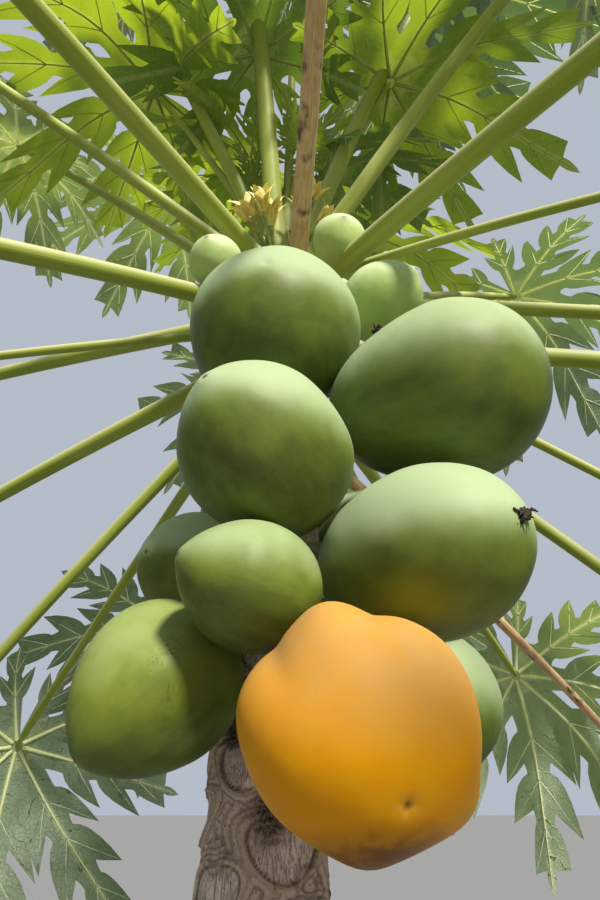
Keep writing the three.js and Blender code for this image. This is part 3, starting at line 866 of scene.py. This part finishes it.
def fruit_stem(fruit, steps=8):
    """The stem from the trunk to the fruit, thicker at both its ends."""
    axis = heading(fruit.face, fruit.tilt)
    end = beside_trunk(fruit.up, fruit.turn, fruit.out) - axis * (fruit.long / 2 - .004)
    root = trunk_middle(end.z + .014 + .1 * fruit.long)
    towards = Vector((end.x - root.x, end.y - root.y, 0))
    root = root + towards.normalized() * min(trunk_radius(root.z) * .8, towards.length * .5)
    points, radii = [], []
    for i in range(steps + 1):
        t = i / steps
        points.append(root.lerp(end, t) + Vector((0, 0, .10 * fruit.long * math.sin(math.pi * t))))
        radii.append((.0035 + .036 * fruit.wide) * (1 + .45 * hump(t, .15) + .35 * hump(1 - t, .18)))
    return points, radii


def flower_rests():
    """What is left of two dried flowers, shrivelled and black: on a fruit tip and between two fruit."""
    rng = np.random.default_rng(SEED + 3)
    fruit = FRUITS["fruit_lower_right"]
    tip = beside_trunk(fruit.up, fruit.turn, fruit.out)
    tip = tip + heading(fruit.face, fruit.tilt) * (fruit.long / 2 + .001)
    lines = []
    for place, size, count in ((tip, .0085, 16), (Vector(CAUGHT_FLOWER), .0065, 12)):
        for _ in range(count):
            lean = heading(rng.uniform(0, 360), rng.uniform(-60, 75)) * size * rng.uniform(.5, 1)
            bend = Vector(rng.normal(0, size * .25, 3))
            lines.append(([place - lean * .25, place + lean * .4 + bend, place + lean + bend * .4],
                          [size * .14, size * rng.uniform(.12, .22), size * .05]))
    dry = plain_plant_material("dried_flower", (.012, .009, .007), (.075, .045, .030), 300, .7)
    rests = limbs("flower_rests", lines, 6, dry, 30)
    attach(rests, "root")


def all_fruit():
    skins = {"fruit_green": green_fruit_material(), "fruit_ripe": ripe_fruit_material(),
             "fruit_young": young_fruit_material()}
    for seed, (node, fruit) in enumerate(FRUITS.items()):
        piece = fruit_piece(node + "_skin", fruit, seed + 1, skins[fruit.kind], FRUIT_GRID)
        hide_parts(node)
        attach(piece, "root")
    for number, fruit in enumerate(YOUNG_FRUITS):
        piece = fruit_piece(f"small_fruit_{number + 1}", fruit, 60 + number, skins["fruit_young"],
                            SMALL_FRUIT_GRID)
        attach(piece, "root")
    green = stalk_material("fruit_stem", (.090, .130, .030), (.200, .250, .075), (.280, .310, .140),
                           (.200, .130, .060), .5)
    stems = limbs("fruit_stems", [fruit_stem(f) for f in [*FRUITS.values(), *YOUNG_FRUITS]], 14, green, 8)
    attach(stems, "root")


# Leaves

def stalk_line(leaf, seed, sway):
    """A leaf stalk, almost straight, from inside the trunk to its blade, with a swollen foot."""
    rng = np.random.default_rng(seed)
    start = beside_trunk(leaf.up, leaf.foot, trunk_radius(ground_height(leaf.up)) - .006)
    direction = heading(leaf.turn, leaf.rise)
    side = direction.cross(Vector((0, 0, 1)) if abs(direction.z) < .95 else Vector((1, 0, 0))).normalized()
    bow = rng.uniform(-sway, sway)
    points, radii = [], []
    for i in range(STALK_STEPS + 1):
        t = (i / STALK_STEPS) ** 1.35
        points.append(start + direction * leaf.long * t + side * bow * math.sin(math.pi * t)
                      - Vector((0, 0, STALK_SAG * t * t)))
        swell = 1 + .42 * hump(leaf.long * t - .012, .030) - .50 * hump(1 - t, .020)
        radii.append(leaf.girth / 2 * (1 - (1 - STALK_TAPER) * t) * swell)
    return points, radii


def curve_between(start, control, end, count):
    t = np.linspace(0, 1, count + 1)[1:, None]
    return (1 - t) ** 2 * np.array(start) + 2 * t * (1 - t) * np.array(control) + t ** 2 * np.array(end)


def lobe_edge(length, half_angle, sinus, side_lobes, rng):
    """The edge of one side of a lobe, from the sinus beside it to its tip, and where its side veins end."""
    points = [np.array([sinus * math.cos(half_angle), sinus * math.sin(half_angle)])]
    veins = []
    for i, (foot, tip, reach) in enumerate(side_lobes):
        point = np.array([tip + rng.uniform(-.02, .02), reach * rng.uniform(.85, 1.12)])
        point[1] = min(point[1], point[0] * math.tan(half_angle) * .94)
        bay = np.array([foot, .098 - .055 * foot])
        point, bay = point * length, bay * length
        if i == 0:
            points += list(curve_between(points[-1], bay * [.9, .95], bay, 3))
        else:
            points += [bay + np.array([-.012, .000]) * length, bay + np.array([.010, -.003]) * length]
        start = points[-1]
        points += list(curve_between(start, start + (point - start) * [.18, .78], point, 5))
        last = i + 1 == len(side_lobes)
        follow = .955 if last else side_lobes[i + 1][0]
        end = np.array([follow - .035, .022 if last else .110 - .060 * follow]) * length
        points += list(curve_between(point, end + (point - end) * [.30, .22], end, 4))
        veins.append((np.array([length * (foot + .12 * (tip - foot)), 0]), point))
    points += list(curve_between(points[-1], (length * .965, .030 * length), (length, 0), 3))
    return points, veins


def inside_outline(points, outline):
    """Which points lie inside a closed outline."""
    x, y = points[:, :1], points[:, 1:]
    start, end = outline, np.roll(outline, -1, axis=0)
    crosses = (start[:, 1] > y) != (end[:, 1] > y)
    rise = np.where(end[:, 1] == start[:, 1], 1e-9, end[:, 1] - start[:, 1])
    where = start[:, 0] + (y - start[:, 1]) / rise * (end[:, 0] - start[:, 0])
    return (crosses & (x < where)).sum(1) % 2 == 1


def flat_blade(rng, spacing):
    """A flat palmate blade of radius 1: its points, its faces, its ribs and its side veins."""
    sinuses = [BACK_NOTCH] + [SINUS * rng.uniform(.85, 1.15) for _ in range(LOBES - 1)] + [BACK_NOTCH]
    half_gap = math.radians((360 - LOBE_SPACING * (LOBES - 1)) / 2)
    outline, ribs, veins = [], [], []
    for i in range(LOBES):
        turn = math.radians((i - (LOBES - 1) / 2) * LOBE_SPACING)
        length = LOBE_LENGTHS[i] * rng.uniform(.93, 1.0)
        kinds = SIDE_LOBES if LOBE_LENGTHS[i] > .6 else FEW_SIDE_LOBES
        spin = np.array([[math.cos(turn), math.sin(turn)], [-math.sin(turn), math.cos(turn)]])
        sides = []
        for s, index in ((-1, i), (1, i + 1)):
            half_angle = min(half_gap, .75) if index in (0, LOBES) else math.radians(LOBE_SPACING / 2)
            edge, ends = lobe_edge(length, half_angle, sinuses[index], kinds, rng)
            sides.append(np.array(edge) * [1, s] @ spin)
            veins += [(i, a * [1, s] @ spin, b * [1, s] @ spin) for a, b in ends]
        outline += [*sides[0], *sides[1][-2:0:-1]]
        ribs.append(np.stack([np.linspace(.03, length * .97, RIB_POINTS), np.zeros(RIB_POINTS)], -1) @ spin)
    outline = np.array(outline)
    steps = np.arange(-1, 1 + spacing, spacing)
    x, y = np.meshgrid(steps, steps)
    x[::2] += spacing / 2
    inner = np.stack([x.ravel(), y.ravel() * .9], -1)
    inner = inner[inside_outline(inner, outline)]
    fixed = np.concatenate([outline, *ribs])
    far = np.sqrt(((inner[:, None] - fixed[None]) ** 2).sum(-1)).min(1) > spacing * .55
    corners = [Vector(p) for p in np.concatenate([fixed, inner[far]])]
    n = len(outline)
    edges = [(i, (i + 1) % n) for i in range(n)]
    for first in range(n, len(fixed), RIB_POINTS):
        edges += [(k, k + 1) for k in range(first, first + RIB_POINTS - 1)]
    flat, _, faces, *_ = delaunay_2d_cdt(corners, edges, [], 1, 1e-6)
    return np.array([tuple(p) for p in flat]), [list(f) for f in faces], ribs, veins


class Warp:
    """Bends a flat blade: the whole blade droops, and each lobe droops, folds and twists by itself."""

    def __init__(self, droop, rng):
        self.droop = droop
        self.fall, self.fold, self.twist, self.wave = (
            rng.uniform(low, high, LOBES) for low, high in ((.0, .55), (-.15, .45), (-.55, .55), (0, 6.28)))

    def in_lobe(self, flat, lobe=None):
        """The lobe that each point lies in, and the point's place along and beside that lobe's rib."""
        x, y = flat.T
        middle = (LOBES - 1) / 2
        if lobe is None:
            turn = np.round(np.degrees(np.arctan2(y, x)) / LOBE_SPACING + middle)
            lobe = np.clip(turn, 0, LOBES - 1).astype(int)
        turn = np.radians((lobe - middle) * LOBE_SPACING)
        return lobe, x * np.cos(turn) + y * np.sin(turn), y * np.cos(turn) - x * np.sin(turn)

    def lift(self, flat, lobe=None):
        lobe, along, aside = self.in_lobe(flat, lobe)
        free, width = along - LOBE_FREE, np.abs(aside)
        share = eased(capped(free / .5))
        z = -self.droop * (flat ** 2).sum(1) - self.fall[lobe] * share * capped(free)
        z = z + (.10 + self.fold[lobe] * share) * width + self.twist[lobe] * share * aside
        z = z - .9 * capped(width - .06) ** 1.5 * share
        z = z + .016 * np.sin(along * 17 + self.wave[lobe] + np.sign(aside) * 1.2) * capped(width * 9)
        return np.column_stack([flat, z])


def blade(leaf, hub, basis, seed, blades, ribs, spacing):
    """Adds one leaf blade to the blades and its veins to the ribs. The basis is forward, side and up."""
    rng = np.random.default_rng(seed)
    flat, faces, main, veins = flat_blade(rng, spacing)
    warp = Warp(leaf.droop, rng)
    hub, down, basis = np.array(hub), -np.array(basis[2]), np.array(basis) * leaf.blade
    _, along, aside = warp.in_lobe(flat)
    flat_map = np.stack([along * 9 - np.abs(aside) * 6, np.abs(aside) * 8], -1)
    blades.add(hub + warp.lift(flat) @ basis, faces, rng.uniform(0, 1), flat_map)
    width = RIB_WIDTH[0] + RIB_WIDTH[1] * np.linspace(1, 0, RIB_POINTS) ** 1.5
    lines = [(i, line, width) for i, line in enumerate(main)]
    t = np.linspace(0, .93, VEIN_POINTS)[:, None]
    for i, foot, tip in veins:
        line = (1 - t) ** 2 * foot + 2 * t * (1 - t) * (.55 * foot + .45 * tip) + t ** 2 * tip
        lines.append((i, line, np.linspace(*VEIN_WIDTH, VEIN_POINTS)))
    for i, line, thick in lines:
        thick = thick * leaf.blade
        lifted = warp.lift(line, np.full(len(line), i)) @ basis
        ribs.append((hub + lifted + down * thick[:, None] * VEIN_DEPTH, thick))


def growing_leaves(leaves, seed, blades, stalks, ribs, sway=.006, spacing=BLADE_GRID):
    for number, leaf in enumerate(leaves):
        points, radii = stalk_line(leaf, seed + number, sway)
        stalks.append((points, radii))
        direction = (points[-1] - points[-3]).normalized()
        rise = max(math.degrees(math.asin(direction.z)) - BLADE_BEND, -80)
        forward, side = heading(leaf.turn, rise), heading(leaf.turn + 90, 0)
        basis = (forward, side, forward.cross(side))
        blade(leaf, points[-1], basis, seed + 100 + number, blades, ribs, spacing)


def all_leaves():
    green = leaf_material("leaf_blade", ((.022, .060, .008), (.050, .110, .018)),
                          ((.190, .250, .170), (.335, .400, .310)),
                          ((.38, .53, .055), (.68, .77, .26), (.13, .23, .045)), .36)
    stalk = stalk_material("leaf_stalk", (.250, .300, .028), (.345, .395, .070), (.540, .525, .300),
                           (.400, .320, .150), .22)
    rib = stalk_material("leaf_vein", (.700, .760, .400), (.840, .860, .520), (.600, .650, .300),
                         (.760, .770, .480), .3, through=1)
    for half, label in enumerate(("upper", "lower")):
        names = [name for name, leaf in LEAVES.items() if (leaf.rise > 0) == (label == "upper")]
        blades, stalks, ribs = Pile(), [], []
        growing_leaves([LEAVES[n] for n in names], 200 + 50 * half, blades, stalks, ribs)
        for piece in (blades.piece(f"leaf_blades_{label}", green),
                      limbs(f"leaf_stalks_{label}", stalks, 20, stalk, 1.2),
                      limbs(f"leaf_ribs_{label}", ribs, 5, rib, 4)):
            weld(piece)
            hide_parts(*names)
            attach(piece, "root")


def dead_leaves():
    """Two withered leaves: pale brown stalks, and blades that hang from them as crumpled bundles."""
    brown = plain_plant_material("dry_blade", (.055, .028, .012), (.210, .115, .050), 40, .75)
    dry = stalk_material("dry_stalk", (.450, .265, .110), (.660, .450, .230), (.700, .520, .340),
                         (.070, .036, .018), 1, .45)
    blades, stalks = Pile(), []
    for number, leaf in enumerate(DEAD_LEAVES.values()):
        points, radii = stalk_line(leaf, 400 + number, .012)
        stalks.append((points, [r * .92 for r in radii]))
        shrivelled = Pile()
        blade(leaf, (0, 0, 0), np.eye(3), 420 + number, shrivelled, [], .05)
        flat = np.concatenate(shrivelled.points)
        distance, angle = np.hypot(flat[:, 0], flat[:, 1]), np.arctan2(flat[:, 1], flat[:, 0])
        crumple = np.array([noise.noise(Vector((p[0] * 30, p[1] * 30, number * 5))) for p in flat])
        squeeze = .020 + .20 * distance + .016 * crumple
        hanging = np.stack([squeeze * np.cos(angle), squeeze * np.sin(angle),
                            -distance * 1.02 + .012 * np.sin(angle * 9)], -1)
        hanging[:, :2] += (crumple * distance * .16)[:, None]
        blades.add(hanging + np.array(points[-1]) + np.array([0, 0, .010]), shrivelled.faces, .5)
    for piece in (blades.piece("dead_blades", brown), limbs("dead_stalks", stalks, 16, dry, 12)):
        weld(piece)
        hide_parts(*DEAD_LEAVES)
        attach(piece, "root")


# Growing tip: young leaves, flowers and buds

def heart_leaves():
    """Young leaves between the grown crown and the tip, smaller and steeper the nearer to the tip."""
    young = leaf_material("young_blade", ((.04, .10, .012), (.07, .15, .02)),
                          ((.14, .22, .05), (.24, .34, .10)),
                          ((.52, .68, .015), (.62, .74, .06), (.20, .32, .02)), .45)
    stalk = stalk_material("young_stalk", (.290, .340, .040), (.420, .460, .100), (.520, .530, .280),
                           (.430, .360, .160), .2)
    rng = np.random.default_rng(SEED + 5)
    blades, stalks, ribs = Pile(), [], []
    # The lowest leaf's height, rise, girth, length and blade, how they change up to the highest, the spread
    # of lengths, the first leaf's turn, the droop, the seed and the spacing of points
    rings = (((.745, 56, .014, .46, .30), (.04, 24, -.004, -.20, -.11), (-.03, .03), 150, .34, 500, .065),
             ((.785, 70, .008, .17, .075), (.045, 14, -.003, -.11, -.045), (0, .02), 20, -.6, 550, .15))
    for first, change, lengths, start, droop, seed, spacing in rings:
        ring = []
        for i in range(7):
            up, rise, girth, long, wide = np.array(first) + np.array(change) * (i / 6)
            turn = i * SCAR_TURN + start
            ring.append(Leaf(up, turn, turn, rise, girth, long + rng.uniform(*lengths), wide, droop))
        growing_leaves(ring, seed, blades, stalks, ribs, .004, spacing)
    for piece in (blades.piece("heart_blades", young), limbs("heart_stalks", stalks, 10, stalk, 5),
                  limbs("heart_ribs", ribs, 4, stalk, 5)):
        weld(piece)
        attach(piece, "root")


def petal(length, width, curl, steps=6, across=5):
    """One long petal that stands up from its foot and curls back at its tip."""
    t, u = np.meshgrid(np.linspace(0, 1, steps), np.linspace(-1, 1, across), indexing="ij")
    half = width / 2 * np.sin(math.pi * capped(t * .86 + .12)) ** .7
    back = curl * t ** 2.2 * length + .0015 - .35 * half * (1 - u ** 2) + .003 * t
    points = np.stack([back, u * half, length * t * (1 - .25 * t)], -1)
    return points.reshape(-1, 3), grid_faces(steps, across)


def flowers():
    """Clusters of open flowers with five petals each, and buds beside them, round the growing tip."""
    cream = plain_plant_material("flower_petal", (.860, .660, .090), (.950, .880, .430), 160, .5)
    green = plain_plant_material("flower_bud", (.180, .240, .050), (.420, .480, .150), 90, .45)
    rng = np.random.default_rng(SEED + 9)
    petals, buds = Pile(), []
    # Height, turn, length of the flower stalks, number of flowers and their size
    clusters = ((.688, -25, .074, 9, 1.55), (.715, 30, .080, 5, .9), (.725, 4, .060, 0, 1.2),
                (.720, 175, .060, 5, .9), (.700, -125, .050, 4, .7))
    for up, turn, out, count, size in clusters:
        foot = beside_trunk(up - .02, turn, trunk_radius(ground_height(up)) * .8)
        for _ in range(count):
            lean = heading(turn + rng.uniform(-22, 22), rng.uniform(5, 50))
            tip = foot + lean * out * rng.uniform(.75, 1.15)
            buds.append(([foot, foot.lerp(tip, .5) + Vector((0, 0, .004)), tip], [.0022, .0018, .0026]))
            side = lean.cross(Vector((.1, .2, 1))).normalized()
            basis = np.array([side, lean.cross(side), lean])
            length = size * rng.uniform(.020, .034)
            curl = rng.uniform(.1, .7)
            for k in range(5):
                a = 2 * math.pi * k / 5 + rng.uniform(-.15, .15)
                points, faces = petal(length, length * .34, curl * rng.uniform(.6, 1.2))
                twist = np.array([[math.cos(a), math.sin(a), 0], [-math.sin(a), math.cos(a), 0], [0, 0, 1]])
                petals.add(points @ twist @ basis + np.array(tip), faces, rng.uniform(0, 1))
        for _ in range(count // 2 + 1):
            lean = heading(turn + rng.uniform(-50, 50), rng.uniform(35, 80))
            length = size * rng.uniform(.018, .034)
            line = [foot + lean * (out * .35 + length * f) for f in (0, .25, .55, .8, 1)]
            buds.append((line, [.0016, .0040 * size, .0046 * size, .0030 * size, .0006]))
    for piece in (petals.piece("flower_petals", cream), limbs("flower_buds", buds, 8, green, 12)):
        weld(piece)
        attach(piece, "root")


# Floor, light and camera

def floor():
    p = Paint("pale_floor")
    grey = (FLOOR_GREY, FLOOR_GREY, FLOOR_GREY)
    material = p.done(p.add("ShaderNodeBsdfPrincipled", {"Base Color": grey, "Roughness": .9}))
    corners = [(x * FLOOR_REACH, y * FLOOR_REACH, 0) for x, y in ((-1, -1), (1, -1), (1, 1), (-1, 1))]
    ground = mesh_piece("floor", np.array(corners, float), [[0, 1, 2, 3]], material)


def light():
    world = bpy.data.worlds.new("soft_sky")
    world.use_nodes = True
    sky = world.node_tree.nodes["Background"]
    sky.inputs["Color"].default_value = SKY_COLOUR
    sky.inputs["Strength"].default_value = SKY_STRENGTH
    bpy.context.scene.world = world
    data = bpy.data.lights.new("key", "SUN")
    data.energy = SUN_STRENGTH
    data.angle = math.radians(SUN_WIDTH)
    data.color = (1.0, .95, .86)
    new_object("key", data).rotation_euler = Vector(SUN_TOWARDS).to_track_quat("Z", "Y").to_euler()
    bpy.context.scene.view_settings.view_transform = "Standard"


def camera():
    data = bpy.data.cameras.new("camera")
    data.lens = CAMERA_LENS
    data.sensor_width = FILM
    data.clip_start = .01
    view = new_object("camera", data)
    view.location = trunk_middle(BEND_HEIGHT) - ACROSS * CAMERA_DISTANCE + Vector((CAMERA_ASIDE, 0, 0))
    view.rotation_euler = (math.radians(90 + CAMERA_PITCH), 0, 0)
    bpy.context.scene.camera = view


MOTTLE = mottle_group()
SPECKS = speck_group()
LIMB_TREE = limb_tree()

camera()
light()
floor()
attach(trunk_piece(), "root")
all_fruit()
flower_rests()
all_leaves()
dead_leaves()
heart_leaves()
flowers()
